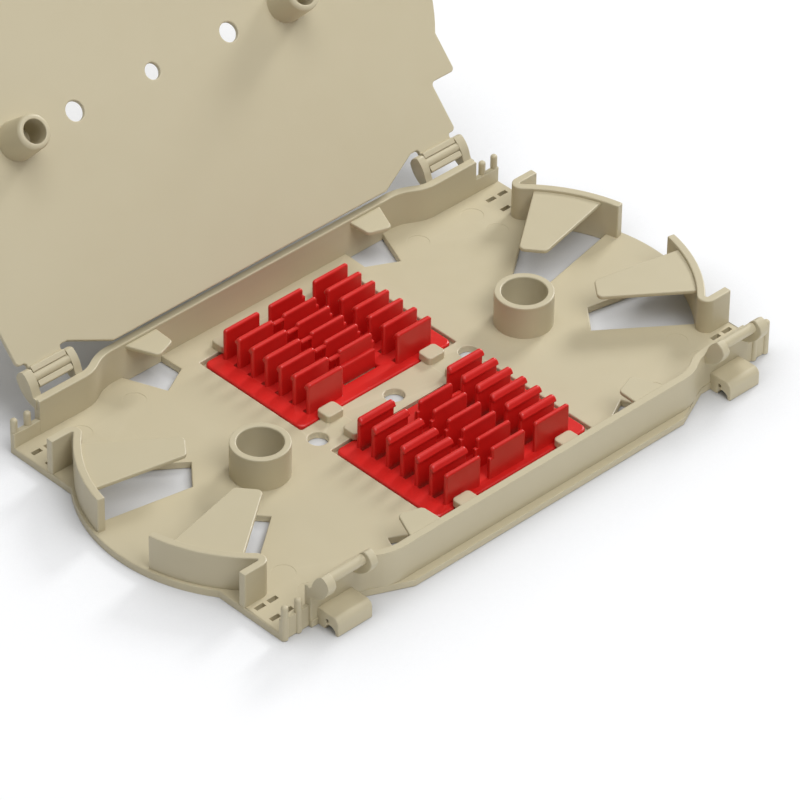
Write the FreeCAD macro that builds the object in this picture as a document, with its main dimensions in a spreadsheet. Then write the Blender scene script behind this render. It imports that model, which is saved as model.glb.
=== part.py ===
import FreeCAD, Part
import Sketcher
import math
import os

# Fibre splice tray: a moulded tray, the lid that turns on its hinge pins, and two splice holders.
# Millimetres. The origin is the tray's middle fixing hole on the top face of the floor,
# X runs along the tray, Y towards the hinged side and Z up.

SIZES = {
    # floor of the tray
    "floor_thickness": 2.0,
    "end_half_length": 81.0,
    "end_half_width": 48.8,
    "corner_half_width": 47.85,
    "ledge_half_width": 54.2,
    "ledge_half_length": 44.8,
    "ledge_foot": 56.6,
    "lobe_radius": 45.3,
    # bobbins that the spare fibre is wound round, and the fixing holes between them
    "bobbin_place": 43.96,
    "bobbin_radius": 7.5,
    "bobbin_bore": 5.75,
    "bobbin_height": 9.2,
    "fixing_hole_place": 25.2,
    "fixing_hole_radius": 2.58,
    # long walls, set in at both ends by a double bend
    "wall_height": 9.8,
    "wall_thickness": 2.1,
    "wall_middle_place": 50.0,
    "wall_end_place": 46.45,
    "bend_start": 46.5,
    "bend_end": 58.5,
    "wall_half_length": 72.8,
    # low wall and round posts at the corners
    "corner_wall_thickness": 1.35,
    "corner_wall_height": 4.2,
    "post_height": 8.0,
    "post_radius": 0.9,
    "post_inset": 0.3,
    "post_spacing": 4.2,
    # curved end walls with an out-turned lip at each fibre mouth
    "lobe_margin": 3.0,
    "end_wall_angle": 11.6,
    "mouth_place": 34.85,
    "mouth_bend": 2.5,
    "mouth_lip_end": 80.8,
    # leaves over the fibre, and the floor openings that they are moulded through
    "leaf_top": 9.0,
    "leaf_thickness": 1.1,
    "leaf_rounding": 1.5,
    "end_leaf_reach": 18.0,
    "end_leaf_tip_start": 27.4,
    "end_leaf_tip_end": 49.9,
    "end_leaf_root_start": 18.4,
    "end_leaf_root_end": 42.1,
    "end_opening_reach": 17.0,
    "end_opening_tip_start": 23.9,
    "end_opening_tip_end": 56.0,
    "end_opening_root_start": 16.2,
    "end_opening_root_end": 44.4,
    "side_leaf_root_start": 32.3,
    "side_leaf_root_end": 42.85,
    "side_leaf_near_tip": 32.6,
    "side_leaf_near_tip_place": 43.7,
    "side_leaf_far_tip": 38.8,
    "side_leaf_far_tip_place": 41.6,
    "side_opening_root_start": 31.0,
    "side_opening_root_end": 43.6,
    "side_opening_near_tip": 30.8,
    "side_opening_near_tip_place": 42.9,
    "side_opening_far_tip": 38.9,
    "side_opening_far_tip_place": 38.7,
    # slots for the ties that hold the fibre tubes
    "tie_slot_length": 2.8,
    "tie_slot_width": 1.3,
    "tie_slot_near": 73.9,
    "tie_slot_far": 77.9,
    "tie_slot_inset": 5.85,
    "tie_slot_spacing": 5.2,
    # recesses for the splice holders, and the lugs that keep the holders down
    "recess_half_length": 25.95,
    "recess_near": 5.2,
    "recess_far": 41.65,
    "recess_depth": 1.5,
    "recess_rounding": 0.6,
    "lug_place": 16.9,
    "lug_length": 5.5,
    "lug_width": 4.5,
    "lug_height": 2.1,
    "lug_rounding": 1.1,
    "lug_overlap": 1.6,
    # hinge ears and pins along both long sides
    "hinge_place": 51.6,
    "hinge_height": 12.9,
    "pin_radius": 1.35,
    "ear_start": 57.3,
    "inner_ear_width": 2.2,
    "clip_room": 10.9,
    "outer_ear_width": 2.6,
    "ear_low": 6.9,
    "ear_under_radius": 8.0,
    "ear_reach": 54.7,
    "ear_reach_height": 12.4,
    "ear_head_radius": 2.9,
    "ear_top": 15.2,
    "ear_top_place": 52.1,
    "ear_back_radius": 7.0,
    "ear_back_place": 49.0,
    "ear_back_height": 10.8,
    # snap hooks under the front pins, for stacking on the next tray
    "hook_reach": 55.4,
    "hook_top": 2.9,
    "hook_rounding": 1.8,
    "hook_groove_radius": 1.7,
    "hook_groove_place": 52.7,
    "hook_start_gap": 0.2,
    "right_hook_end_gap": 0.5,
    "left_hook_overrun": 0.2,
    "hook_eye_place": 51.6,
    "hook_eye_height": 0.6,
    "hook_eye_radius": 0.45,
    # lid
    "lid_thickness": 1.4,
    "lid_inner_drop": 0.16,
    "lid_open_angle": 132.5,
    "lid_half_width": 53.0,
    "lid_straight": 45.4,
    "lid_slant_end": 57.2,
    "lid_shoulder": 47.7,
    "lid_side": 72.8,
    "lid_step_place": 34.35,
    "lid_half_length": 81.0,
    "lid_lobe_radius": 44.0,
    "lid_corner_rounding": 1.2,
    "tongue_rounding": 0.8,
    "lid_row_place": 0.4,
    "lid_outer_hole_radius": 2.6,
    "lid_middle_hole_radius": 2.15,
    "boss_depth": 9.7,
    "boss_tip_radius": 4.5,
    "boss_base_radius": 5.2,
    "boss_bore": 3.1,
    "boss_bore_depth": 8.5,
    # clips of the lid, which turn on the pins
    "clip_radius": 2.85,
    "clip_running_gap": 0.1,
    "clip_mouth": 2.3,
    "clip_jaw_depth": 1.2,
    "clip_side_gap": 0.2,
    # splice holders: a plate with three columns of fins
    "holder_gap": 0.6,
    "holder_rounding": 2.0,
    "holder_sunk": 0.1,
    "fin_field_back": 0.325,
    "fin_top": 8.7,
    "fin_length": 11.5,
    "fin_thickness": 1.2,
    "fin_pitch": 4.95,
    "fin_column_pitch": 14.8,
    "fin_rows": 7,
    "barb_reach": 0.85,
    "barb_tip_drop": 1.45,
    "barb_under": 2.0,
    "bridge_start": 4.9,
    "bridge_end": 8.9,
    "bridge_top": 6.2,
    "middle_fin_cut": 0.45,
    "shoulder_reach": 0.75,
    "shoulder_top": 6.1,
    "step_reach": 1.0,
    "step_top": 4.5,
    "slot_width": 0.8,
}


class Size:
    """A number together with the sheet expression that gives it."""

    def __init__(self, value, text):
        self.value = value
        self.text = text

    def __add__(self, other):
        return combined(self, "+", other, self.value + number(other))

    def __radd__(self, other):
        return combined(other, "+", self, number(other) + self.value)

    def __sub__(self, other):
        return combined(self, "-", other, self.value - number(other))

    def __rsub__(self, other):
        return combined(other, "-", self, number(other) - self.value)

    def __mul__(self, other):
        return combined(self, "*", other, self.value * number(other))

    def __rmul__(self, other):
        return combined(other, "*", self, number(other) * self.value)

    def __truediv__(self, other):
        return combined(self, "/", other, self.value / number(other))

    def __neg__(self):
        return Size(-self.value, f"(0 - {self.text})")


def number(item):
    return item.value if isinstance(item, Size) else item


def written(item):
    return item.text if isinstance(item, Size) else str(item)


def combined(left, sign, right, value):
    return Size(value, f"({written(left)} {sign} {written(right)})")


def root(item):
    return Size(math.sqrt(item.value), f"sqrt({item.text})")


def cosine(angle):
    return Size(math.cos(math.radians(angle.value)), f"cos({angle.text})")


def sine(angle):
    return Size(math.sin(math.radians(angle.value)), f"sin({angle.text})")


class Sheet:
    """The driving dimensions, read by name."""

    def __init__(self, document):
        sheet = document.addObject("Spreadsheet::Sheet", "sizes")
        for row, (alias, value) in enumerate(SIZES.items(), start=1):
            sheet.set(f"A{row}", alias)
            sheet.set(f"B{row}", str(value))
            sheet.setAlias(f"B{row}", alias)
            setattr(self, alias, Size(value, f"sizes.{alias}"))


doc = FreeCAD.newDocument("splice_tray")
s = Sheet(doc)
doc.recompute()


def bind(feature, path, size):
    """Ties one property of a feature to the sheet."""
    feature.setExpression(path, written(size))


def origin_item(body, role):
    return next(item for item in body.Origin.OriginFeatures if item.Role == role)


def arc_between(start, end, radius):
    """The shorter arc from start to end, turning left where the radius is positive."""
    chord = end.sub(start)
    height = math.sqrt(radius * radius - chord.Length * chord.Length / 4)
    side = FreeCAD.Vector(-chord.y, chord.x, 0).normalize()
    centre = (start + end) / 2 + side * math.copysign(height, radius)
    turn_from = math.atan2(start.y - centre.y, start.x - centre.x)
    turn_to = math.atan2(end.y - centre.y, end.x - centre.x)
    if radius < 0:
        turn_from, turn_to = turn_to, turn_from
    circle = Part.Circle(centre, FreeCAD.Vector(0, 0, 1), abs(radius))
    return Part.ArcOfCircle(circle, turn_from, turn_to)


def place_point(sketch, item, point, across, up):
    """Fixes one point of a sketch at bound coordinates."""
    for kind, axis, value in (("DistanceX", -2, across), ("DistanceY", -1, up)):
        if isinstance(value, Size):
            constraint = sketch.addConstraint(Sketcher.Constraint(kind, item, point, value.value))
            bind(sketch, f"Constraints[{constraint}]", value)
        else:
            sketch.addConstraint(Sketcher.Constraint("PointOnObject", item, point, axis))


def draw_outline(sketch, corners):
    """Closes lines and arcs through corners (x, y) or (x, y, radius of the arc that follows)."""
    pieces = []
    for corner, following in zip(corners, corners[1:] + corners[:1]):
        start = FreeCAD.Vector(number(corner[0]), number(corner[1]), 0)
        end = FreeCAD.Vector(number(following[0]), number(following[1]), 0)
        if len(corner) == 2:
            pieces.append((sketch.addGeometry(Part.LineSegment(start, end)), 1, 2))
            continue
        radius = corner[2]
        item = sketch.addGeometry(arc_between(start, end, radius.value))
        constraint = sketch.addConstraint(Sketcher.Constraint("Radius", item, abs(radius.value)))
        bind(sketch, f"Constraints[{constraint}]", radius if radius.value > 0 else -radius)
        pieces.append((item, 1, 2) if radius.value > 0 else (item, 2, 1))
    for piece, previous, corner in zip(pieces, pieces[-1:] + pieces[:-1], corners):
        sketch.addConstraint(Sketcher.Constraint("Coincident", previous[0], previous[2], piece[0], piece[1]))
        place_point(sketch, piece[0], piece[1], corner[0], corner[1])


def draw_circle(sketch, across, up, radius):
    centre = FreeCAD.Vector(number(across), number(up), 0)
    item = sketch.addGeometry(Part.Circle(centre, FreeCAD.Vector(0, 0, 1), radius.value))
    constraint = sketch.addConstraint(Sketcher.Constraint("Radius", item, radius.value))
    bind(sketch, f"Constraints[{constraint}]", radius)
    place_point(sketch, item, 3, across, up)


def new_sketch(body, name, plane, offset):
    sketch = body.newObject("Sketcher::SketchObject", f"{body.Name}_{name}_sketch")
    sketch.AttachmentSupport = [(origin_item(body, plane), "")]
    sketch.MapMode = "FlatFace"
    bind(sketch, "AttachmentOffset.Base.z", offset)
    return sketch


def swept(kind, body, name, plane, offset, length, outlines, circles):
    sketch = new_sketch(body, name, plane, offset)
    for corners in outlines:
        draw_outline(sketch, corners)
    for circle in circles:
        draw_circle(sketch, *circle)
    feature = body.newObject(kind, f"{body.Name}_{name}")
    feature.Profile = sketch
    bind(feature, "Length", length)
    body.Tip = feature
    return feature


def add(body, name, plane, start, end, outlines=(), circles=()):
    """Material between two levels of a plane of the body."""
    return swept("PartDesign::Pad", body, name, plane, start, end - start, outlines, circles)


def cut(body, name, plane, start, end, outlines=(), circles=()):
    """Takes material away between two levels of a plane of the body."""
    doc.recompute()
    before = body.Shape.Volume
    feature = swept("PartDesign::Pocket", body, name, plane, end, end - start, outlines, circles)
    doc.recompute()
    if body.Shape.Volume > before - 1e-6:
        raise RuntimeError(f"{feature.Name} takes nothing away")
    return feature


def round_uprights(body, name, radius, places):
    """Rounds the upright edges that stand at the given places."""
    doc.recompute()
    base = body.Tip
    names = []
    for index, edge in enumerate(base.Shape.Edges, start=1):
        low, high = edge.BoundBox.ZMin, edge.BoundBox.ZMax
        middle = edge.BoundBox.Center
        for across, along, level in places:
            near = math.hypot(middle.x - number(across), middle.y - number(along)) < 0.01
            if near and low < number(level) < high and edge.BoundBox.DiagonalLength < high - low + 1e-3:
                names.append(f"Edge{index}")
    feature = body.newObject("PartDesign::Fillet", f"{body.Name}_{name}")
    feature.Base = (base, names)
    bind(feature, "Radius", radius)
    body.Tip = feature
    return feature


def mirrored(body, name, *planes):
    """Mirrors everything made so far in planes through the body's origin."""
    feature = body.newObject("PartDesign::MultiTransform", f"{body.Name}_{name}")
    feature.TransformMode = "Whole shape"
    steps = []
    for plane in planes:
        step = body.newObject("PartDesign::Mirrored", f"{body.Name}_{name}_{plane}")
        step.MirrorPlane = (origin_item(body, plane), [""])
        steps.append(step)
    feature.Transformations = steps
    body.Tip = feature
    doc.recompute()
    return feature


def repeated(body, original, pitch, count):
    """Repeats a feature towards -Y."""
    feature = body.newObject("PartDesign::LinearPattern", f"{original.Name}_rows")
    feature.Originals = [original]
    feature.Direction = (origin_item(body, "Y_Axis"), [""])
    feature.Reversed = True
    bind(feature, "Length", pitch * (count - 1))
    bind(feature, "Occurrences", count)
    body.Tip = feature
    return feature


def box_outline(left, right, low, high):
    return [(left, low), (right, low), (right, high), (left, high)]


def rounded_outline(left, right, low, high, radius):
    return [
        (left + radius, low), (right - radius, low, radius),
        (right, low + radius), (right, high - radius, radius),
        (right - radius, high), (left + radius, high, radius),
        (left, high - radius), (left, low + radius, radius),
    ]


def around_bobbin(reach, angle):
    """A point at a reach and an angle from the right-hand bobbin's axis."""
    return s.bobbin_place + reach * cosine(angle), reach * sine(angle)


def build_tray():
    tray = doc.addObject("PartDesign::Body", "tray")
    top = Size(0.0, "0")
    under = -s.floor_thickness

    # One quarter of the floor: lobe, end, slanted edge and the ledge outside the long wall.
    lobe_end = root(s.lobe_radius * s.lobe_radius
                    - (s.end_half_length - s.bobbin_place) * (s.end_half_length - s.bobbin_place))
    add(tray, "floor", "XY_Plane", under, top, [[
        (0, 0),
        (s.bobbin_place + s.lobe_radius, 0, s.lobe_radius),
        (s.end_half_length, lobe_end),
        (s.end_half_length, s.corner_half_width),
        (s.wall_half_length, s.corner_half_width),
        (s.wall_half_length, s.end_half_width),
        (s.ledge_foot, s.end_half_width),
        (s.ledge_half_length, s.ledge_half_width),
        (0, s.ledge_half_width),
    ]])

    # Long wall. Two equal arcs make the double bend between its middle and its end.
    bend_run = s.bend_end - s.bend_start
    bend_step = s.wall_middle_place - s.wall_end_place
    bend_radius = (bend_run * bend_run + bend_step * bend_step) / (4 * bend_step)
    lean_across = bend_run / (2 * bend_radius)
    lean_along = (2 * bend_radius - bend_step) / (2 * bend_radius)
    first_centre = s.wall_middle_place - bend_radius
    outer_radius = bend_radius + s.wall_thickness
    add(tray, "long_wall", "XY_Plane", top, s.wall_height, [[
        (0, s.wall_middle_place),
        (s.bend_start, s.wall_middle_place, -bend_radius),
        (s.bend_start + bend_radius * lean_across, first_centre + bend_radius * lean_along, bend_radius),
        (s.bend_end, s.wall_end_place),
        (s.wall_half_length, s.wall_end_place),
        (s.wall_half_length, s.wall_end_place + s.wall_thickness),
        (s.bend_end, s.wall_end_place + s.wall_thickness, -(bend_radius - s.wall_thickness)),
        (s.bend_start + outer_radius * lean_across, first_centre + outer_radius * lean_along, outer_radius),
        (s.bend_start, s.wall_middle_place + s.wall_thickness),
        (0, s.wall_middle_place + s.wall_thickness),
    ]])

    # Low wall and two posts at the corner.
    add(tray, "corner_wall", "XY_Plane", top, s.corner_wall_height, [
        box_outline(s.wall_half_length, s.end_half_length,
                    s.corner_half_width - s.corner_wall_thickness, s.corner_half_width)])
    outer_post = s.end_half_length - s.post_radius
    add(tray, "posts", "XY_Plane", under, s.post_height, circles=[
        (across, s.corner_half_width - s.post_inset, s.post_radius)
        for across in (outer_post - s.post_spacing, outer_post)])

    # Curved end wall, which turns outwards into the lip of the fibre mouth.
    inner_face = s.lobe_radius - s.lobe_margin
    outer_face = inner_face + s.wall_thickness
    bend_height = s.mouth_place - s.mouth_bend
    centre_reach = inner_face + s.mouth_bend
    bend_across = root(centre_reach * centre_reach - bend_height * bend_height)
    inner_share = inner_face / centre_reach
    outer_share = outer_face / centre_reach
    add(tray, "end_wall", "XY_Plane", top, s.wall_height, [[
        (*around_bobbin(outer_face, s.end_wall_angle), outer_face),
        (s.bobbin_place + bend_across * outer_share, bend_height * outer_share,
         -(s.mouth_bend - s.wall_thickness)),
        (s.bobbin_place + bend_across, s.mouth_place - s.wall_thickness),
        (s.mouth_lip_end, s.mouth_place - s.wall_thickness),
        (s.mouth_lip_end, s.mouth_place),
        (s.bobbin_place + bend_across, s.mouth_place, s.mouth_bend),
        (s.bobbin_place + bend_across * inner_share, bend_height * inner_share, -inner_face),
        around_bobbin(inner_face, s.end_wall_angle),
    ]])

    # Leaves that keep the fibre down, and the floor openings under them.
    leaf_under = s.leaf_top - s.leaf_thickness
    leaf_root = inner_face + s.wall_thickness / 2
    end_tips = [around_bobbin(s.end_leaf_reach, s.end_leaf_tip_end),
                around_bobbin(s.end_leaf_reach, s.end_leaf_tip_start)]
    add(tray, "end_leaf", "XY_Plane", leaf_under, s.leaf_top, [[
        *end_tips,
        (*around_bobbin(leaf_root, s.end_leaf_root_start), leaf_root),
        around_bobbin(leaf_root, s.end_leaf_root_end),
    ]])
    side_tips = [(s.side_leaf_near_tip, s.side_leaf_near_tip_place),
                 (s.side_leaf_far_tip, s.side_leaf_far_tip_place)]
    side_root = s.wall_middle_place + s.wall_thickness / 2
    add(tray, "side_leaf", "XY_Plane", leaf_under, s.leaf_top, [[
        *side_tips,
        (s.side_leaf_root_end, side_root),
        (s.side_leaf_root_start, side_root),
    ]])
    tips = [(across, along, s.leaf_top - s.leaf_thickness / 2) for across, along in end_tips + side_tips]
    round_uprights(tray, "leaf_tips", s.leaf_rounding, tips)
    cut(tray, "end_opening", "XY_Plane", under, top, [[
        around_bobbin(s.end_opening_reach, s.end_opening_tip_end),
        around_bobbin(s.end_opening_reach, s.end_opening_tip_start),
        (*around_bobbin(inner_face, s.end_opening_root_start), inner_face),
        around_bobbin(inner_face, s.end_opening_root_end),
    ]])
    cut(tray, "side_opening", "XY_Plane", under, top, [[
        (s.side_opening_near_tip, s.side_opening_near_tip_place),
        (s.side_opening_far_tip, s.side_opening_far_tip_place),
        (s.side_opening_root_end, s.wall_middle_place),
        (s.side_opening_root_start, s.wall_middle_place),
    ]])

    # Four tie slots.
    slots = []
    high_slot = s.corner_half_width - s.tie_slot_inset
    for across in (s.tie_slot_near, s.tie_slot_far):
        for along in (high_slot - s.tie_slot_spacing, high_slot):
            slots.append(box_outline(across - s.tie_slot_length / 2, across + s.tie_slot_length / 2,
                                     along - s.tie_slot_width / 2, along + s.tie_slot_width / 2))
    cut(tray, "tie_slots", "XY_Plane", under, top, slots)

    # Recess for a splice holder, and the two lugs over its edges.
    radius = s.recess_rounding
    cut(tray, "recess", "XY_Plane", -s.recess_depth, top, [[
        (0, s.recess_near),
        (s.recess_half_length - radius, s.recess_near, radius),
        (s.recess_half_length, s.recess_near + radius),
        (s.recess_half_length, s.recess_far - radius, radius),
        (s.recess_half_length - radius, s.recess_far),
        (0, s.recess_far),
    ]])
    lug_left = s.lug_place - s.lug_length / 2
    lug_right = s.lug_place + s.lug_length / 2
    near_edge = s.recess_near + s.lug_overlap
    far_edge = s.recess_far - s.lug_overlap
    add(tray, "lugs", "XY_Plane", top, s.lug_height, [
        rounded_outline(lug_left, lug_right, near_edge - s.lug_width, near_edge, s.lug_rounding),
        rounded_outline(lug_left, lug_right, far_edge, far_edge + s.lug_width, s.lug_rounding)])

    # Hinge ears: a cheek on the outside of the wall, rounded under, in front and above the pin.
    neck = s.wall_end_place + s.wall_thickness / 2
    ear = [
        (neck, s.ear_low, s.ear_under_radius),
        (s.ear_reach, s.ear_reach_height, s.ear_head_radius),
        (s.ear_top_place, s.ear_top, s.ear_back_radius),
        (s.ear_back_place, s.ear_back_height),
        (s.wall_end_place + s.wall_thickness, s.wall_height),
        (neck, s.wall_height),
    ]
    clip_start = s.ear_start + s.inner_ear_width
    clip_end = clip_start + s.clip_room
    add(tray, "inner_ear", "YZ_Plane", s.ear_start, clip_start, [ear])
    add(tray, "outer_ear", "YZ_Plane", clip_end, clip_end + s.outer_ear_width, [ear])
    add(tray, "pin", "YZ_Plane", clip_start, clip_end, circles=[(s.hinge_place, s.hinge_height, s.pin_radius)])

    mirrored(tray, "four_quarters", "YZ_Plane", "XZ_Plane")

    # Bobbins, open right through the floor, and the three fixing holes.
    bobbins = [(s.bobbin_place, 0), (-s.bobbin_place, 0)]
    add(tray, "bobbins", "XY_Plane", under, s.bobbin_height,
        circles=[(across, along, s.bobbin_radius) for across, along in bobbins])
    cut(tray, "bobbin_bores", "XY_Plane", under, s.bobbin_height,
        circles=[(across, along, s.bobbin_bore) for across, along in bobbins])
    cut(tray, "fixing_holes", "XY_Plane", under, top, circles=[
        (across, 0, s.fixing_hole_radius) for across in (-s.fixing_hole_place, 0, s.fixing_hole_place)])

    # Snap hooks below the front pins.
    wall_face = -(s.wall_end_place + s.wall_thickness / 2)
    hook = [
        (wall_face, s.hook_top),
        (-(s.hook_reach - s.hook_rounding), s.hook_top, s.hook_rounding),
        (-s.hook_reach, s.hook_top - s.hook_rounding),
        (-s.hook_reach, under),
        (-(s.hook_groove_place + s.hook_groove_radius), under, -s.hook_groove_radius),
        (-s.hook_groove_place, under + s.hook_groove_radius, -s.hook_groove_radius),
        (-(s.hook_groove_place - s.hook_groove_radius), under),
        (wall_face, under),
    ]
    hook_start = clip_start + s.hook_start_gap
    for side, start, end in (("right", hook_start, clip_end - s.right_hook_end_gap),
                             ("left", -(clip_end + s.left_hook_overrun), -hook_start)):
        add(tray, f"{side}_hook", "YZ_Plane", start, end, [hook])
        cut(tray, f"{side}_hook_eye", "YZ_Plane", start, end,
            circles=[(-s.hook_eye_place, s.hook_eye_height, s.hook_eye_radius)])
    return tray


def build_lid():
    """The lid lies closed in its own frame, whose X axis is the hinge axis."""
    lid = doc.addObject("PartDesign::Body", "lid")
    inner = -s.lid_inner_drop
    outer = inner + s.lid_thickness

    def at(across, along, *radius):
        return (across, along - s.hinge_place, *radius)

    # Half of the plate, front edge first.
    rounding = s.lid_corner_rounding
    lobe_end = root(s.lid_lobe_radius * s.lid_lobe_radius
                    - (s.lid_half_length - s.bobbin_place) * (s.lid_half_length - s.bobbin_place))
    add(lid, "plate", "XY_Plane", inner, outer, [[
        at(0, -s.lid_half_width),
        at(s.lid_straight, -s.lid_half_width),
        at(s.lid_slant_end, -s.lid_shoulder),
        at(s.lid_side - rounding, -s.lid_shoulder, rounding),
        at(s.lid_side, -(s.lid_shoulder - rounding)),
        at(s.lid_side, -(s.lid_step_place + rounding), -rounding),
        at(s.lid_side + rounding, -s.lid_step_place),
        at(s.lid_half_length - rounding, -s.lid_step_place, rounding),
        at(s.lid_half_length, -(s.lid_step_place - rounding)),
        at(s.lid_half_length, -lobe_end, s.lid_lobe_radius),
        at(s.lid_half_length, lobe_end),
        at(s.lid_half_length, s.lid_step_place - rounding, rounding),
        at(s.lid_half_length - rounding, s.lid_step_place),
        at(s.lid_side + rounding, s.lid_step_place, -rounding),
        at(s.lid_side, s.lid_step_place + rounding),
        at(s.lid_side, s.lid_shoulder - rounding, rounding),
        at(s.lid_side - rounding, s.lid_shoulder),
        at(s.lid_slant_end, s.lid_shoulder),
        at(s.lid_straight, s.lid_half_width),
        at(0, s.lid_half_width),
    ]])

    # Tongues and clips: the rear clips turn on the rear pins, the front ones drop over the front pins.
    clip_start = s.ear_start + s.inner_ear_width + s.clip_side_gap
    clip_end = s.ear_start + s.inner_ear_width + s.clip_room - s.clip_side_gap
    bore = s.pin_radius + s.clip_running_gap
    corner = s.tongue_rounding
    for side, sign, half_mouth in (("rear", 1, s.clip_mouth / 2), ("front", -1, bore)):
        axis = (sign - 1) * s.hinge_place
        foot = sign * (s.lid_shoulder - s.lid_corner_rounding)
        shoulder = sign * s.lid_shoulder
        corner_end = sign * (s.lid_shoulder + corner)
        add(lid, f"{side}_tongue", "XY_Plane", inner, outer, [[
            at(clip_start - corner, foot),
            at(clip_end + corner, foot),
            at(clip_end + corner, shoulder, -sign * corner),
            at(clip_end, corner_end),
            (clip_end, axis),
            (clip_start, axis),
            at(clip_start, corner_end, -sign * corner),
            at(clip_start - corner, shoulder),
        ]])
        add(lid, f"{side}_clip", "YZ_Plane", clip_start, clip_end, circles=[(axis, 0, s.clip_radius)])
        below = -s.clip_radius - s.clip_running_gap
        jaw_half = s.clip_radius + s.clip_running_gap
        cut(lid, f"{side}_clip_jaws", "YZ_Plane", clip_start, clip_end, [
            box_outline(axis - jaw_half, axis + jaw_half, below, -s.clip_jaw_depth)])
        cut(lid, f"{side}_clip_bore", "YZ_Plane", clip_start, clip_end, circles=[(axis, 0, bore)])
        cut(lid, f"{side}_clip_mouth", "YZ_Plane", clip_start, clip_end, [
            box_outline(axis - half_mouth, axis + half_mouth, below, Size(0.0, "0"))])

    # Hollow tapered boss that drops into the bobbin.
    row = s.hinge_place + s.lid_row_place
    sketch = new_sketch(lid, "boss", "XZ_Plane", row)
    axis_line = sketch.addGeometry(Part.LineSegment(
        FreeCAD.Vector(s.bobbin_place.value, -s.boss_depth.value, 0),
        FreeCAD.Vector(s.bobbin_place.value, 0, 0)), True)
    tip = inner - s.boss_depth
    place_point(sketch, axis_line, 1, s.bobbin_place, tip)
    place_point(sketch, axis_line, 2, s.bobbin_place, inner)
    draw_outline(sketch, [
        (s.bobbin_place, outer),
        (s.bobbin_place, tip + s.boss_bore_depth),
        (s.bobbin_place + s.boss_bore, tip + s.boss_bore_depth),
        (s.bobbin_place + s.boss_bore, tip),
        (s.bobbin_place + s.boss_tip_radius, tip),
        (s.bobbin_place + s.boss_base_radius, inner),
        (s.bobbin_place + s.boss_base_radius, outer),
    ])
    boss = lid.newObject("PartDesign::Revolution", "lid_boss")
    boss.Profile = sketch
    boss.ReferenceAxis = (sketch, ["Axis0"])
    boss.Angle = 360
    lid.Tip = boss

    mirrored(lid, "both_halves", "YZ_Plane")
    cut(lid, "holes", "XY_Plane", inner, outer, circles=[
        (-s.fixing_hole_place, -row, s.lid_outer_hole_radius),
        (0, -row, s.lid_middle_hole_radius),
        (s.fixing_hole_place, -row, s.lid_outer_hole_radius)])

    lid.Placement = FreeCAD.Placement(FreeCAD.Vector(), FreeCAD.Rotation(FreeCAD.Vector(1, 0, 0), -90))
    bind(lid, "Placement.Base.y", s.hinge_place)
    bind(lid, "Placement.Base.z", s.hinge_height)
    bind(lid, "Placement.Rotation.Angle", -s.lid_open_angle)
    return lid


def build_holder(name, turn, sign):
    """A splice holder about the middle of its plate, with its first row at the back."""
    holder = doc.addObject("PartDesign::Body", name)
    bottom = -s.recess_depth
    plate_top = -s.holder_sunk
    half_length = s.recess_half_length - s.holder_gap
    half_width = (s.recess_far - s.recess_near) / 2 - s.holder_gap
    add(holder, "plate", "XY_Plane", bottom, plate_top, [
        rounded_outline(-half_length, half_length, -half_width, half_width, s.holder_rounding)])

    first_row = s.fin_field_back + s.fin_pitch * (s.fin_rows - 1) / 2
    second_row = first_row - s.fin_pitch
    half_fin = s.fin_length / 2
    half_wall = s.fin_thickness / 2
    middle_end = half_fin - s.middle_fin_cut

    # Outer columns: a plain fin at the back, then fins with a barb over the splice behind them.
    front_face = second_row - half_wall
    back_face = second_row + half_wall
    barbed = [
        (front_face, plate_top),
        (back_face, plate_top),
        (back_face, s.fin_top - s.barb_under),
        (back_face + s.barb_reach, s.fin_top - s.barb_tip_drop),
        (back_face, s.fin_top),
        (front_face, s.fin_top),
    ]
    for side, column in (("left", -s.fin_column_pitch), ("right", s.fin_column_pitch)):
        add(holder, f"{side}_first_fin", "XY_Plane", plate_top, s.fin_top, [
            box_outline(column - half_fin, column + half_fin, first_row - half_wall, first_row + half_wall)])
        fin = add(holder, f"{side}_barbed_fin", "YZ_Plane", column - half_fin, column + half_fin, [barbed])
        repeated(holder, fin, s.fin_pitch, s.fin_rows - 1)

    # Middle column: plain fins with a low shoulder at one end.
    fin = add(holder, "middle_fin", "XY_Plane", plate_top, s.fin_top, [
        box_outline(-half_fin, middle_end, first_row - half_wall, first_row + half_wall)])
    repeated(holder, fin, s.fin_pitch, s.fin_rows - 1)
    shoulder_end = middle_end + s.shoulder_reach
    shoulder = add(holder, "shoulder", "XY_Plane", plate_top, s.shoulder_top, [
        box_outline(middle_end, shoulder_end, first_row - half_wall, first_row + half_wall)])
    repeated(holder, shoulder, s.fin_pitch, s.fin_rows - 1)

    # Low bridges in line with the fins, between the left and the middle column.
    bridge = add(holder, "bridge", "XY_Plane", plate_top, s.bridge_top, [
        box_outline(-s.bridge_end, -s.bridge_start, second_row - half_wall, second_row + half_wall)])
    repeated(holder, bridge, s.fin_pitch, s.fin_rows - 2)

    # Step at the foot of the last middle fin, and the slot in front of it.
    last_face = first_row - s.fin_pitch * (s.fin_rows - 2) - half_wall
    step_face = last_face - s.step_reach
    add(holder, "step", "XY_Plane", plate_top, s.step_top, [
        box_outline(-half_fin, middle_end, step_face, last_face)])
    cut(holder, "slot", "XY_Plane", bottom, plate_top, [
        box_outline(-half_fin, middle_end, step_face - s.slot_width, step_face)])

    holder.Placement = FreeCAD.Placement(FreeCAD.Vector(), FreeCAD.Rotation(FreeCAD.Vector(0, 0, 1), turn))
    bind(holder, "Placement.Base.y", sign * (s.recess_near + s.recess_far) / 2)
    return holder


bodies = [
    build_tray(),
    build_lid(),
    build_holder("splice_holder_rear", 0, 1),
    build_holder("splice_holder_front", 180, -1),
]
doc.recompute()

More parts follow.
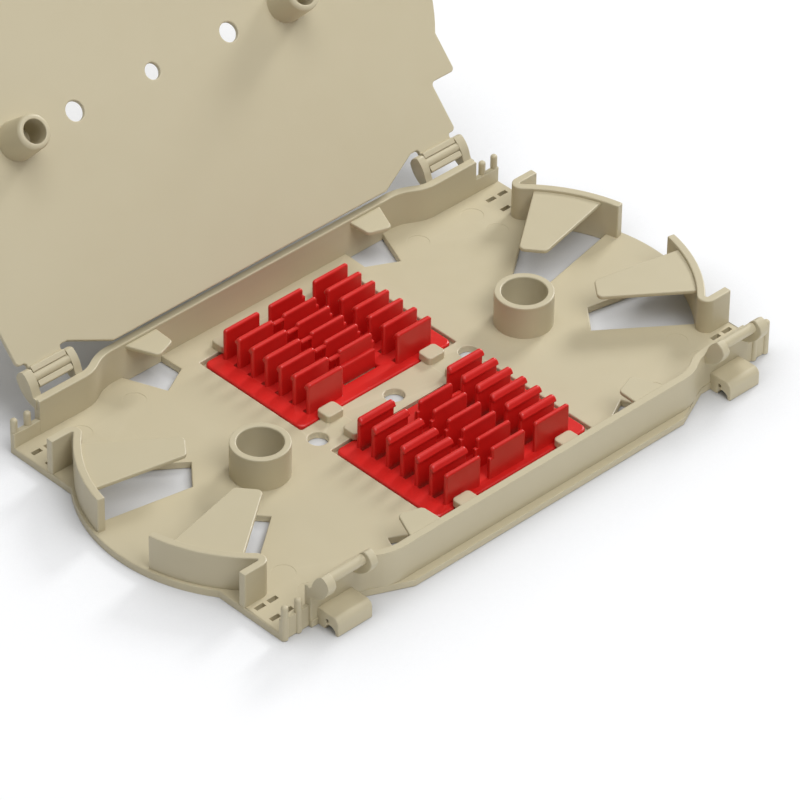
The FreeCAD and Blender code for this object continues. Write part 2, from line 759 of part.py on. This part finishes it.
for item in doc.Objects:
    if "Invalid" in item.State or "Error" in item.State:
        raise RuntimeError(f"{item.Name} failed: {item.State}")
os.makedirs("parts", exist_ok=True)
for body in bodies:
    if body.Shape.isNull() or not body.Shape.isValid() or len(body.Shape.Solids) != 1:
        raise RuntimeError(f"{body.Label} is not one valid solid")
for body in bodies:
    body.Shape.exportStep(f"parts/{body.Label}.step")
    print(body.Label, round(body.Shape.Volume), body.Shape.BoundBox)
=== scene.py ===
from math import radians, sin

import bmesh
import bpy
from mathutils import Matrix, Vector


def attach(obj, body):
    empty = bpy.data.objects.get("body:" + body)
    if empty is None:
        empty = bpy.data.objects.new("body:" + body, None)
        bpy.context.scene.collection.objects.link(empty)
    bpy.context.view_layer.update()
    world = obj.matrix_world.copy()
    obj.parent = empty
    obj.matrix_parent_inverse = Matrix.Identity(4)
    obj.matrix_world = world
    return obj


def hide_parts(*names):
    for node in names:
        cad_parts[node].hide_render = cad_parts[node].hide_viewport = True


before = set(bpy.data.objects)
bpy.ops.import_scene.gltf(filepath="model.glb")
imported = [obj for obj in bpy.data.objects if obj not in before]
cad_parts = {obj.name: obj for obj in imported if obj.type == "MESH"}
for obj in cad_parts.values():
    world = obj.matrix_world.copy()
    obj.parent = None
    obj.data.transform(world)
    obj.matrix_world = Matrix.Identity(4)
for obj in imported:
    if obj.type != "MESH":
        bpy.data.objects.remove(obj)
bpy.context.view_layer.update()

bpy.ops.object.select_all(action="DESELECT")

# Tray. One injection moulding in beige ABS: floor, walls, leaves, bobbins, lugs, hinge ears and hooks.
# The mould leaves every edge slightly round, and its ejector pins leave faint round marks on the floor.

MM = 0.001
MERGE_DISTANCE = 0.0005 * MM
FLAT_ANGLE = radians(0.5)


def moulded_copy(node, name):
    """A copy of a solid to work on, with shared corners merged and its flat faces whole again."""
    bpy.ops.object.select_all(action="DESELECT")
    piece = bpy.data.objects.new(name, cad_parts[node].data.copy())
    bpy.context.scene.collection.objects.link(piece)
    bpy.context.view_layer.objects.active = piece
    piece.select_set(True)
    bpy.ops.mesh.customdata_custom_splitnormals_clear()
    bpy.ops.object.mode_set(mode="EDIT")
    bpy.ops.mesh.select_all(action="SELECT")
    bpy.ops.mesh.remove_doubles(threshold=MERGE_DISTANCE)
    bpy.ops.mesh.dissolve_limited(angle_limit=FLAT_ANGLE)
    bpy.ops.object.mode_set(mode="OBJECT")
    return piece


# Edges sharper than SHARP are rounded. A run of edges turns by less than BEND from one to the next, and
# is straight below STRAIGHT. A rounding takes at most these shares of a face's width or a bend's radius.
SHARP = radians(32)
BEND = radians(40)
STRAIGHT = radians(2)
SHARE_OF_FACE = 0.45
SHARE_OF_BEND = 0.85


def room_beside(edge, radius):
    """The widest rounding that one sharp edge has room for on the two faces beside it."""
    room = radius
    for face in edge.link_faces:
        for loop in face.loops:
            corner = loop.vert
            if corner not in edge.verts or not loop.is_convex:
                continue
            following = loop.link_loop_prev.edge if loop.edge is edge else loop.edge
            ahead = corner.co - edge.other_vert(corner).co
            beyond = following.other_vert(corner).co - corner.co
            turn = ahead.angle(beyond)
            if turn > BEND:
                room = min(room, SHARE_OF_FACE * beyond.length * sin(turn))
            elif turn > STRAIGHT:
                room = min(room, SHARE_OF_BEND * (ahead.length + beyond.length) / (2 * turn))
    return room


def edges_onward(edge, sharp):
    """The sharp edges that carry on from an edge at its two corners."""
    for corner in edge.verts:
        ahead = corner.co - edge.other_vert(corner).co
        for other in corner.link_edges:
            if other is not edge and other in sharp:
                if ahead.angle(other.other_vert(corner).co - corner.co) < BEND:
                    yield other


PLANE_STEP = 0.01 * MM
ON_PLANE = 0.002 * MM
FACING = 0.9


def wide_planes(shape):
    """The planes of the many-sided flat faces, each as a normal and its distance from the origin."""
    planes = {}
    for face in shape.faces:
        if len(face.verts) > 4:
            distance = face.normal.dot(face.verts[0].co)
            key = (*(round(part, 3) for part in face.normal), round(distance / PLANE_STEP))
            planes[key] = (face.normal.copy(), distance)
    return list(planes.values())


def weigh_edges(piece, radius, crisp):
    """Gives each run of sharp edges the share of the full rounding that it has room for."""
    shape = bmesh.new()
    shape.from_mesh(piece.data)
    layer = shape.edges.layers.float.new("bevel_weight_edge")
    sharp = {edge: room_beside(edge, radius) for edge in shape.edges
             if edge.is_manifold and edge.is_convex and edge.calc_face_angle() > SHARP
             and not all(crisp(corner.co) for corner in edge.verts)}
    done = set()
    for first in sharp:
        if first in done:
            continue
        run = [first]
        done.add(first)
        for edge in run:
            for other in edges_onward(edge, sharp):
                if other not in done:
                    done.add(other)
                    run.append(other)
        room = min(sharp[edge] for edge in run)
        for edge in run:
            edge[layer] = room / radius
    planes = wide_planes(shape)
    shape.to_mesh(piece.data)
    shape.free()
    return planes


def refill_planes(piece, planes):
    """Fills the flat faces again inside their rounded borders, holes and all."""
    shape = bmesh.new()
    shape.from_mesh(piece.data)
    for normal, distance in planes:
        flat = dict.fromkeys(
            face for face in shape.faces if abs(face.normal.dot(normal)) > FACING
            and all(abs(corner.co.dot(normal) - distance) < ON_PLANE for corner in face.verts))
        while flat:
            region = [flat.popitem()[0]]
            for face in region:
                for edge in face.edges:
                    for other in edge.link_faces:
                        if other in flat:
                            del flat[other]
                            region.append(other)
            inside = set(region)
            edges = dict.fromkeys(edge for face in region for edge in face.edges)
            border = [edge for edge in edges if sum(face in inside for face in edge.link_faces) == 1]
            inner = [edge for edge in edges if sum(face in inside for face in edge.link_faces) > 1]
            bmesh.ops.delete(shape, geom=region, context="FACES_ONLY")
            for edge in inner:
                shape.edges.remove(edge)
            filled = bmesh.ops.triangle_fill(shape, edges=border, normal=normal, use_beauty=True)
            for item in filled["geom"]:
                if isinstance(item, bmesh.types.BMFace):
                    item.normal_update()
                    item.smooth = True
                    if item.normal.dot(normal) < 0:
                        item.normal_flip()
    shape.to_mesh(piece.data)
    shape.free()


def round_edges(piece, radius, segments=2, crisp=lambda place: False):
    """Rounds the sharp edges as a mould does, and keeps the flat faces flat."""
    planes = weigh_edges(piece, radius, crisp)
    bpy.ops.object.select_all(action="DESELECT")
    bpy.context.view_layer.objects.active = piece
    piece.select_set(True)
    bpy.ops.object.shade_smooth_by_angle(angle=SHARP)
    bevel = piece.modifiers.new("mould_radius", "BEVEL")
    bevel.width = radius
    bevel.segments = segments
    bevel.limit_method = "WEIGHT"
    bevel.miter_outer = "MITER_ARC"
    bevel.loop_slide = False
    bevel.use_clamp_overlap = False
    bpy.ops.object.modifier_apply(modifier=bevel.name)
    refill_planes(piece, planes)


def finish_normals(piece):
    """Shades the flat faces flat up to their rounded borders."""
    bpy.ops.object.select_all(action="DESELECT")
    bpy.context.view_layer.objects.active = piece
    piece.select_set(True)
    bpy.ops.object.shade_smooth_by_angle(angle=SHARP)
    weighted = piece.modifiers.new("flat_faces_stay_flat", "WEIGHTED_NORMAL")
    weighted.keep_sharp = True
    bpy.ops.object.modifier_apply(modifier=weighted.name)


def hex_colour(code):
    """An sRGB hex colour as the linear colour that the shader takes."""
    channels = [int(code[start:start + 2], 16) / 255 for start in (1, 3, 5)]
    linear = [c / 12.92 if c <= 0.04045 else ((c + 0.055) / 1.055) ** 2.4 for c in channels]
    return (*linear, 1.0)


def add_node(tree, kind, settings=None, inputs=None):
    """Adds a shader node. An input is given a value, or another node's output socket."""
    node = tree.nodes.new(kind)
    for key, value in (settings or {}).items():
        setattr(node, key, value)
    for key, value in (inputs or {}).items():
        if isinstance(value, bpy.types.NodeSocket):
            tree.links.new(value, node.inputs[key])
        else:
            node.inputs[key].default_value = value
    return node


def moulded_plastic(name, light, dark, edge_highlight_colour, roughness, grain, ior):
    """Moulded plastic: two close tones in slow clouds, a spark-eroded grain and a painted highlight, a
    paler colour on the sharp convex edges.
    """
    material = bpy.data.materials.new(name)
    material.use_nodes = True
    tree = material.node_tree
    tree.nodes.clear()
    place = add_node(tree, "ShaderNodeTexCoord").outputs["Object"]
    clouds = add_node(tree, "ShaderNodeTexNoise", inputs={
        "Vector": place, "Scale": 1 / (28 * MM), "Detail": 3.0, "Roughness": 0.5})
    flow = add_node(tree, "ShaderNodeTexNoise", inputs={
        "Vector": place, "Scale": 1 / (5 * MM), "Detail": 2.0, "Roughness": 0.6})
    tone = add_node(tree, "ShaderNodeMix", {"data_type": "RGBA"})
    tree.links.new(clouds.outputs["Fac"], tone.inputs["Factor"])
    tone.inputs["A"].default_value = hex_colour(dark)
    tone.inputs["B"].default_value = hex_colour(light)
    # Painted highlight: the convex edges, found by pointiness, get a paler colour as if they caught the
    # light.
    corner = add_node(tree, "ShaderNodeNewGeometry").outputs["Pointiness"]
    edge_highlight_mask = add_node(tree, "ShaderNodeMapRange", inputs={
        "Value": corner, "From Min": 0.53, "From Max": 0.62, "To Min": 0.0, "To Max": 0.25})
    with_edge_highlight = add_node(tree, "ShaderNodeMix", {"data_type": "RGBA"})
    tree.links.new(edge_highlight_mask.outputs["Result"], with_edge_highlight.inputs["Factor"])
    tree.links.new(tone.outputs["Result"], with_edge_highlight.inputs["A"])
    with_edge_highlight.inputs["B"].default_value = hex_colour(edge_highlight_colour)
    sheen = add_node(tree, "ShaderNodeMapRange", inputs={
        "Value": flow.outputs["Fac"], "From Min": 0.3, "From Max": 0.7,
        "To Min": roughness - 0.05, "To Max": roughness + 0.05})
    # The eroded grain is about 0.1 mm wide on the real part, and is drawn wider so that it shows.
    texture = add_node(tree, "ShaderNodeTexNoise", inputs={
        "Vector": place, "Scale": 1 / (grain * MM), "Detail": 2.0, "Roughness": 0.5})
    bump = add_node(tree, "ShaderNodeBump", inputs={
        "Strength": 0.25, "Distance": 0.02 * MM, "Height": texture.outputs["Fac"]})
    shader = add_node(tree, "ShaderNodeBsdfPrincipled", inputs={
        "Base Color": with_edge_highlight.outputs["Result"], "Roughness": sheen.outputs["Result"],
        "IOR": ior, "Normal": bump.outputs["Normal"]})
    add_node(tree, "ShaderNodeOutputMaterial", inputs={"Surface": shader.outputs["BSDF"]})
    return material


def dress(piece, material):
    """Gives a piece its one material."""
    piece.data.materials.clear()
    piece.data.materials.append(material)


# Moulded ABS of the tray and the lid: warm beige and satin. Its fine eroded grain spreads the highlights
# softly, and its edges carry a painted highlight, a little paler colour.
beige_abs = moulded_plastic("beige_abs_moulded", "#C6BC9F", "#C2B799", "#DAD1B7", 0.46, 0.5, 1.53)


def cut_away(piece, cutters):
    """Joins the cutting shapes and takes them out of a piece."""
    bpy.ops.object.select_all(action="DESELECT")
    for cutter in cutters:
        cutter.select_set(True)
    bpy.context.view_layer.objects.active = cutters[0]
    bpy.ops.object.join()
    bpy.ops.object.select_all(action="DESELECT")
    bpy.context.view_layer.objects.active = piece
    piece.select_set(True)
    cut = piece.modifiers.new("cut_away", "BOOLEAN")
    cut.object = cutters[0]
    cut.operation = "DIFFERENCE"
    cut.solver = "EXACT"
    bpy.ops.object.modifier_apply(modifier=cut.name)
    bpy.data.objects.remove(cutters[0], do_unlink=True)


def round_rims(shape, rims, width, segments):
    """Rounds some edges in full, as a round or a dome, before the other edges get their small rounding."""
    bmesh.ops.bevel(shape, geom=rims, offset=width, offset_type="OFFSET", segments=segments,
                    profile=0.5, affect="EDGES", clamp_overlap=False)


TOUCHING = 0.01 * MM
POST_RADIUS = 0.9 * MM
POST_TOP = 8.0 * MM
POST_PLACES = ((75.9 * MM, 47.55 * MM), (80.1 * MM, 47.55 * MM))
DOME_SHARE = 0.8
DOME_SEGMENTS = 5


def dome_posts(piece, places):
    """Rounds the rims of the upright posts into domes."""
    shape = bmesh.new()
    shape.from_mesh(piece.data)
    rims = [edge for edge in shape.edges if edge.calc_face_angle(0) > SHARP and all(
        abs(corner.co.z - POST_TOP) < TOUCHING
        and any((corner.co.xy - Vector(place)).length < 1.1 * POST_RADIUS for place in places)
        for corner in edge.verts)]
    round_rims(shape, rims, DOME_SHARE * POST_RADIUS, DOME_SEGMENTS)
    shape.to_mesh(piece.data)
    shape.free()


TIE_SLOTS_ACROSS = (72 * MM, 80 * MM)
TIE_SLOTS_ALONG = (35 * MM, 43.5 * MM)
FLOOR_LEVEL = 0.05 * MM


def in_tie_slot(place):
    """The narrow slots for cable ties are moulded crisp, with no rounding."""
    return (TIE_SLOTS_ACROSS[0] < abs(place.x) < TIE_SLOTS_ACROSS[1]
            and TIE_SLOTS_ALONG[0] < abs(place.y) < TIE_SLOTS_ALONG[1] and place.z < FLOOR_LEVEL)


tray = moulded_copy("tray", "tray_moulding")
MOULD_RADIUS = 0.3 * MM
EJECTOR_RADIUS = 3.0 * MM
EJECTOR_DEPTH = 0.06 * MM
EJECTOR_PLACES = ((47.5 * MM, 41.2 * MM), (65.5 * MM, 40.3 * MM), (65.6 * MM, 31.4 * MM))
quarters = [(end, side) for end in (-1, 1) for side in (-1, 1)]
ejectors = []
for end, side in quarters:
    for across, along in EJECTOR_PLACES:
        bpy.ops.mesh.primitive_cylinder_add(
            vertices=48, radius=EJECTOR_RADIUS, depth=2 * EJECTOR_DEPTH,
            location=(end * across, side * along, 0))
        ejectors.append(bpy.context.object)
cut_away(tray, ejectors)
dome_posts(tray, [(end * across, side * along) for end, side in quarters for across, along in POST_PLACES])
round_edges(tray, MOULD_RADIUS, crisp=in_tie_slot)
finish_normals(tray)
dress(tray, beige_abs)
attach(tray, "tray_body")
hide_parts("tray")

# Lid. The same beige ABS: a thin plate with hollow bosses, and clips that turn on the tray's pins.
# It stands open on the rear pins.

HINGE_LINE = Vector((0, 51.6 * MM, 12.9 * MM))
OPEN_ANGLE = radians(132.5)
BOSS_PLACE = 43.96 * MM
BOSS_TIP_LEVEL = 3.04 * MM
BOSS_WALL_MIDDLE = 3.8 * MM
BOSS_ROUNDING = 0.95 * MM
BOSS_SEGMENTS = 5


def round_boss_tips(piece):
    """Rounds the outer rims of the two bosses, found where they are when the lid is closed."""
    closing = Matrix.Rotation(OPEN_ANGLE, 3, "X")
    shape = bmesh.new()
    shape.from_mesh(piece.data)
    rims = []
    for edge in shape.edges:
        closed = [closing @ (corner.co - HINGE_LINE) + HINGE_LINE for corner in edge.verts]
        if edge.calc_face_angle(0) > SHARP and all(
                place.z < BOSS_TIP_LEVEL + 3 * TOUCHING
                and Vector((abs(place.x) - BOSS_PLACE, place.y)).length > BOSS_WALL_MIDDLE
                for place in closed):
            rims.append(edge)
    round_rims(shape, rims, BOSS_ROUNDING, BOSS_SEGMENTS)
    shape.to_mesh(piece.data)
    shape.free()


lid = moulded_copy("lid", "lid_moulding")
round_boss_tips(lid)
round_edges(lid, MOULD_RADIUS)
finish_normals(lid)
dress(lid, beige_abs)
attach(lid, "lid_body")
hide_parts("lid")

# Splice holders. Two equal red mouldings, the front one turned half a turn, held under the lugs of the
# recesses. Their fins are well rounded, so that a splice sleeve slides in between them, and the mould's
# cores leave a hole in the plate under each barb.

# Moulded red plastic of the holders: semi-gloss. The brighter lines along the round tops of the fins are
# partly lamp highlights and partly a painted highlight, a paler colour on the edges.
signal_red = moulded_plastic("signal_red_moulded", "#DA2822", "#CB1E1A", "#EA4A42", 0.36, 0.4, 1.5)

FIN_PITCH = 4.95 * MM
FIRST_ROW = 15.175 * MM
FIN_HALF = 0.6 * MM
FIN_LENGTH = 11.5 * MM
FIN_TOP = 8.7 * MM
FIN_ROUNDING = 0.52 * MM
FIN_SEGMENTS = 3
MIDDLE_END = 5.75 * MM
COLUMN = 14.8 * MM
CORNER_ROUNDING = 0.8 * MM
CORNER_SEGMENTS = 4
CORE_WIDTH = 1.1 * MM
CORE_GAP = 0.02 * MM
CORE_MIDDLE = -0.8 * MM
CORE_HEIGHT = 2.4 * MM
HOLDER_PLACE = 23.425 * MM

BAR_TOP = 6.2 * MM
BAR_HIGH = 7.85 * MM
BAR_UNDERSIDE = 7.2 * MM
BAR_LOW = 0.4 * MM
BAR_AT_STEP = 4.65 * MM
STEP_ROW = 5
BAR_LEFT = 8.9 * MM
BAR_REACH = 0.14 * MM
WINDOW_PLACE = 7.4225 * MM
WINDOW_LENGTH = 3.245 * MM
WINDOW_WIDTH = 1.5 * MM
WINDOW_SILL = 0.1 * MM


def shape_bars_and_ends(piece, side, bar_top, reach):
    """Sets the height of the bars between two columns, and rounds the upper corners of the plain fins."""
    shape = bmesh.new()
    shape.from_mesh(piece.data)
    for corner in shape.verts:
        across = side * corner.co.x
        beside = -BAR_LEFT - 5 * TOUCHING < across < -MIDDLE_END + 5 * TOUCHING
        if beside and abs(corner.co.z - BAR_TOP) < TOUCHING:
            row = round((HOLDER_PLACE + FIRST_ROW - side * corner.co.y) / FIN_PITCH)
            corner.co.z = max(bar_top, BAR_AT_STEP) if row == STEP_ROW else bar_top
        if abs(across + BAR_LEFT) < TOUCHING:
            corner.co.x = -side * (BAR_LEFT + reach)
    ends = [edge for edge in shape.edges
            if all(abs(corner.co.z - FIN_TOP) < TOUCHING for corner in edge.verts)
            and abs(edge.verts[0].co.x - edge.verts[1].co.x) < TOUCHING
            and abs(edge.calc_length() - 2 * FIN_HALF) < 5 * TOUCHING]
    round_rims(shape, ends, CORNER_ROUNDING, CORNER_SEGMENTS)
    shape.to_mesh(piece.data)
    shape.free()


for end, side in (("rear", 1), ("front", -1)):
    holder = moulded_copy(f"splice_holder_{end}", f"splice_holder_{end}_moulding")
    if end == "rear":
        shape_bars_and_ends(holder, side, BAR_HIGH, BAR_REACH)
    else:
        shape_bars_and_ends(holder, side, BAR_LOW, 0)
    round_edges(holder, FIN_ROUNDING, FIN_SEGMENTS)
    cores = []
    for row in range(1, 6) if end == "rear" else ():
        bpy.ops.mesh.primitive_cube_add(
            size=1,
            location=(-side * WINDOW_PLACE, side * (HOLDER_PLACE + FIRST_ROW - row * FIN_PITCH),
                      (WINDOW_SILL + BAR_UNDERSIDE) / 2),
            scale=(WINDOW_LENGTH, WINDOW_WIDTH, BAR_UNDERSIDE - WINDOW_SILL))
        cores.append(bpy.context.object)
    for row in range(1, 7):
        for column in (-COLUMN, COLUMN):
            along = FIRST_ROW - row * FIN_PITCH + FIN_HALF + CORE_GAP + CORE_WIDTH / 2
            bpy.ops.mesh.primitive_cube_add(
                size=1, location=(side * column, side * (HOLDER_PLACE + along), CORE_MIDDLE),
                scale=(FIN_LENGTH, CORE_WIDTH, CORE_HEIGHT))
            cores.append(bpy.context.object)
    cut_away(holder, cores)
    finish_normals(holder)
    dress(holder, signal_red)
    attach(holder, "tray_body")
    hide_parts(f"splice_holder_{end}")

# Studio. A wide white table under the tray, in a white room. It keeps the softboxes' soft shadow, and a
# painted shade darkens it close to the tray. Softboxes stand round it.

TABLE_LEVEL = -2.02 * MM
TABLE_RADIUS = 6.0
# Reach and depth of the painted shade round the tray.
PAINTED_SHADE_DISTANCE = 60 * MM
PAINTED_SHADE_POWER = 2.1
TABLE_GLOW = 0.5

bpy.ops.object.select_all(action="DESELECT")
bpy.ops.mesh.primitive_circle_add(
    vertices=96, radius=TABLE_RADIUS, fill_type="NGON", location=(0, 0, TABLE_LEVEL))
table = bpy.context.object
table.name = "studio_table"
bpy.ops.object.transform_apply(location=True)

# Matt white laminate. To the camera and in reflections it looks white where it is open to the room, and a
# painted shade from ambient occlusion darkens its glow close to the tray.
white_table = bpy.data.materials.new("white_table_laminate")
white_table.use_nodes = True
tree = white_table.node_tree
tree.nodes.clear()
paper = add_node(tree, "ShaderNodeTexNoise", inputs={
    "Vector": add_node(tree, "ShaderNodeTexCoord").outputs["Object"], "Scale": 1 / (400 * MM)})
tint = add_node(tree, "ShaderNodeMix", {"data_type": "RGBA"})
tree.links.new(paper.outputs["Fac"], tint.inputs["Factor"])
tint.inputs["A"].default_value = hex_colour("#F7F7F8")
tint.inputs["B"].default_value = hex_colour("#FAFAFA")
matt = add_node(tree, "ShaderNodeBsdfPrincipled", inputs={
    "Base Color": tint.outputs["Result"], "Roughness": 0.9, "Specular IOR Level": 0.0})
shaded = add_node(tree, "ShaderNodeBsdfDiffuse", inputs={"Color": hex_colour("#BDBEC0")})
# Painted shade: ambient occlusion dims the table's glow close to the tray and under the lid.
painted_shade_ao = add_node(tree, "ShaderNodeAmbientOcclusion", {"samples": 16}, {"Distance": PAINTED_SHADE_DISTANCE})
deepened_painted_shade = add_node(tree, "ShaderNodeMath", {"operation": "POWER"}, {
    0: painted_shade_ao.outputs["AO"], 1: PAINTED_SHADE_POWER})
painted_shade_glow_strength = add_node(tree, "ShaderNodeMath", {"operation": "MULTIPLY"}, {
    0: deepened_painted_shade.outputs["Value"], 1: TABLE_GLOW})
glow_with_painted_shade = add_node(tree, "ShaderNodeEmission", inputs={"Strength": painted_shade_glow_strength.outputs["Value"]})
seen = add_node(tree, "ShaderNodeAddShader")
tree.links.new(shaded.outputs["BSDF"], seen.inputs[0])
tree.links.new(glow_with_painted_shade.outputs["Emission"], seen.inputs[1])
rays = add_node(tree, "ShaderNodeLightPath").outputs
looked_at = add_node(tree, "ShaderNodeMath", {"operation": "MAXIMUM"}, {
    0: rays["Is Camera Ray"], 1: rays["Is Glossy Ray"]})
looked_at = add_node(tree, "ShaderNodeMath", {"operation": "MAXIMUM"}, {
    0: looked_at.outputs["Value"], 1: rays["Is Transmission Ray"]})
table_look = add_node(tree, "ShaderNodeMixShader", inputs={"Fac": looked_at.outputs["Value"]})
tree.links.new(matt.outputs["BSDF"], table_look.inputs[1])
tree.links.new(seen.outputs["Shader"], table_look.inputs[2])
add_node(tree, "ShaderNodeOutputMaterial", inputs={"Surface": table_look.outputs["Shader"]})
dress(table, white_table)

ROOM_STRENGTH = 0.115

world = bpy.data.worlds.new("white_room")
bpy.context.scene.world = world
world.use_nodes = True
room = world.node_tree.nodes["Background"]
room.inputs["Color"].default_value = (1.0, 1.0, 1.0, 1.0)
room.inputs["Strength"].default_value = ROOM_STRENGTH


def softbox(name, azimuth, elevation, distance, size, power):
    """A square softbox that faces the middle of the tray. Azimuth counts from +X towards +Y."""
    turn = Matrix.Rotation(radians(azimuth), 3, "Z") @ Matrix.Rotation(radians(-elevation), 3, "Y")
    place = turn @ Vector((distance, 0, 0))
    bpy.ops.object.light_add(type="AREA", location=place)
    lamp = bpy.context.object
    lamp.name = name
    lamp.data.size = size
    lamp.data.energy = power
    lamp.rotation_euler = place.to_track_quat("Z", "Y").to_euler()


# Two large softboxes light the tray from above and from high in front. A small low one beyond the
# right-hand end gives the slanting shadows, and a weak one lifts the left-hand ends.
softbox("top_softbox", 0, 88, 1.4, 0.8, 5.9)
softbox("high_front_softbox", -90, 56, 1.4, 0.8, 9.3)
softbox("low_right_softbox", 11.5, 31, 1.2, 0.30, 7.0)
softbox("left_softbox", 180, 45, 1.4, 0.8, 1.5)

# Camera. A long lens from the front left corner, at the photograph's angle.

LENS = 254.35
SENSOR = 36
CAMERA_AZIMUTH = -44.147
CAMERA_ELEVATION = 37.747
CAMERA_ROLL = 0.796
CAMERA_TARGET = (-0.387 * MM, -2.391 * MM, 0)
CAMERA_DISTANCE = 1366.70 * MM

camera_turn = (Matrix.Rotation(radians(CAMERA_AZIMUTH), 4, "Z")
               @ Matrix.Rotation(radians(90 - CAMERA_ELEVATION), 4, "X")
               @ Matrix.Rotation(radians(CAMERA_ROLL), 4, "Z"))
camera_place = (Matrix.Translation(CAMERA_TARGET) @ camera_turn
                @ Matrix.Translation((0, 0, CAMERA_DISTANCE)))
bpy.ops.object.camera_add()
camera = bpy.context.object
camera.name = "studio_camera"
camera.matrix_world = camera_place
camera.data.lens = LENS
camera.data.sensor_width = SENSOR
camera.data.clip_start = 0.05
camera.data.clip_end = 50
bpy.context.scene.camera = camera
bpy.context.scene.view_settings.view_transform = "Standard"
